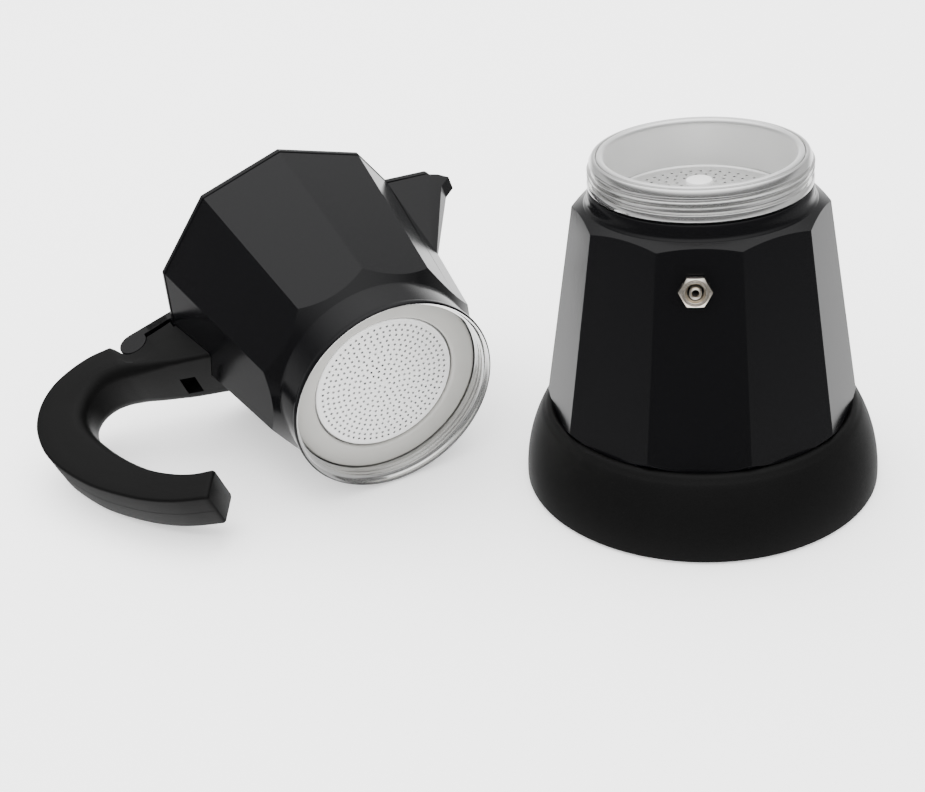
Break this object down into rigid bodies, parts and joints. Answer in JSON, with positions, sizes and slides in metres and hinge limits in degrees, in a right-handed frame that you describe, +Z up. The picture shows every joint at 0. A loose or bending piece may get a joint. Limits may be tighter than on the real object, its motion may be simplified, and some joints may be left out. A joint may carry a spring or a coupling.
{
  "type": "electric moka pot",
  "caption": "Black faceted electric moka pot taken apart: boiler on its skirted base with funnel and relief valve, and the handled collector with hinged lid lying beside it.",
  "frame": {"origin": "bottom centre of the bounding box, on the table that the base stands on and the collector lies on", "axes": "+Z up along the boiler's axis, +X from the lying collector towards the boiler, +Y away from the side the relief valve faces"},
  "size_m": [0.3086, 0.1528, 0.1175],
  "materials": {
    "black_coating": "cast aluminium with a glossy black baked coating",
    "black_plastic": "fine-grained matte black phenolic plastic",
    "bare_aluminium": "satin bare aluminium",
    "steel": "bright nickel-plated metal",
    "brass": "turned brass",
    "silicone": "light grey silicone",
    "black_rubber": "matte black rubber",
    "ceramic": "off-white glazed ceramic"
  },
  "bodies": {
    "boiler_and_base": {"base_skirt": "black_plastic", "bottom_cover": "black_plastic", "cover_screw_1": "steel", "cover_screw_2": "steel", "cover_screw_3": "steel", "rubber_foot_1": "black_rubber", "rubber_foot_2": "black_rubber", "rubber_foot_3": "black_rubber", "connector_socket": "black_plastic", "live_contact_ring": "brass", "earth_contact_ring": "brass", "terminal_tab_1": "brass", "terminal_tab_2": "brass", "terminal_tab_3": "brass", "thermostat": "ceramic", "heating_element": "steel", "heater_plate": "bare_aluminium", "boiler": "black_coating", "valve_body": "steel", "valve_washer": "silicone", "valve_nut": "steel", "valve_spring": "steel"},
    "collector_and_handle": {"collector": "black_coating", "column": "bare_aluminium", "column_cap": "bare_aluminium", "handle": "black_plastic", "hinge_pin": "steel"},
    "lid_and_knob": {"lid": "black_coating", "lid_knob": "black_plastic", "knob_screw": "steel"},
    "coffee_funnel": {"funnel": "bare_aluminium", "funnel_sieve": "bare_aluminium"},
    "reducer": {"reducer_disc": "bare_aluminium", "reducer_knob": "bare_aluminium"},
    "relief_plunger": {"valve_plunger": "brass"},
    "gasket_ring": {"gasket": "silicone"},
    "filter_disc": {"filter_plate": "bare_aluminium"}
  },
  "joints": [
    {"name": "collector_lift", "type": "slide", "parent": "boiler_and_base", "child": "collector_and_handle", "axis": [0, 0, 1], "range_m": [0, 0.12]},
    {"name": "lid_hinge", "type": "hinge", "parent": "collector_and_handle", "child": "lid_and_knob", "pos_m": [-0.12095, 0.00765, 0.03159], "axis": [-0.1757, -0.3242, 0.9295], "range_deg": [0, 100]},
    {"name": "funnel_lift", "type": "slide", "parent": "boiler_and_base", "child": "coffee_funnel", "axis": [0, 0, 1], "range_m": [0, 0.09]},
    {"name": "reducer_lift", "type": "slide", "parent": "coffee_funnel", "child": "reducer", "axis": [0, 0, 1], "range_m": [0, 0.03]},
    {"name": "relief_valve", "type": "slide", "parent": "boiler_and_base", "child": "relief_plunger", "axis": [0, -0.9881, 0.154], "range_m": [0, 0.0012], "stiffness_N_per_m": 300},
    {"name": "gasket_out", "type": "slide", "parent": "collector_and_handle", "child": "gasket_ring", "axis": [0.5852, -0.7937, -0.1662], "range_m": [0, 0.024]},
    {"name": "filter_out", "type": "slide", "parent": "collector_and_handle", "child": "filter_disc", "axis": [0.5852, -0.7937, -0.1662], "range_m": [0, 0.012]}
  ],
  "couplings": [
    {"joint": "filter_out", "follows": "gasket_out", "ratio": 0.5}
  ]
}
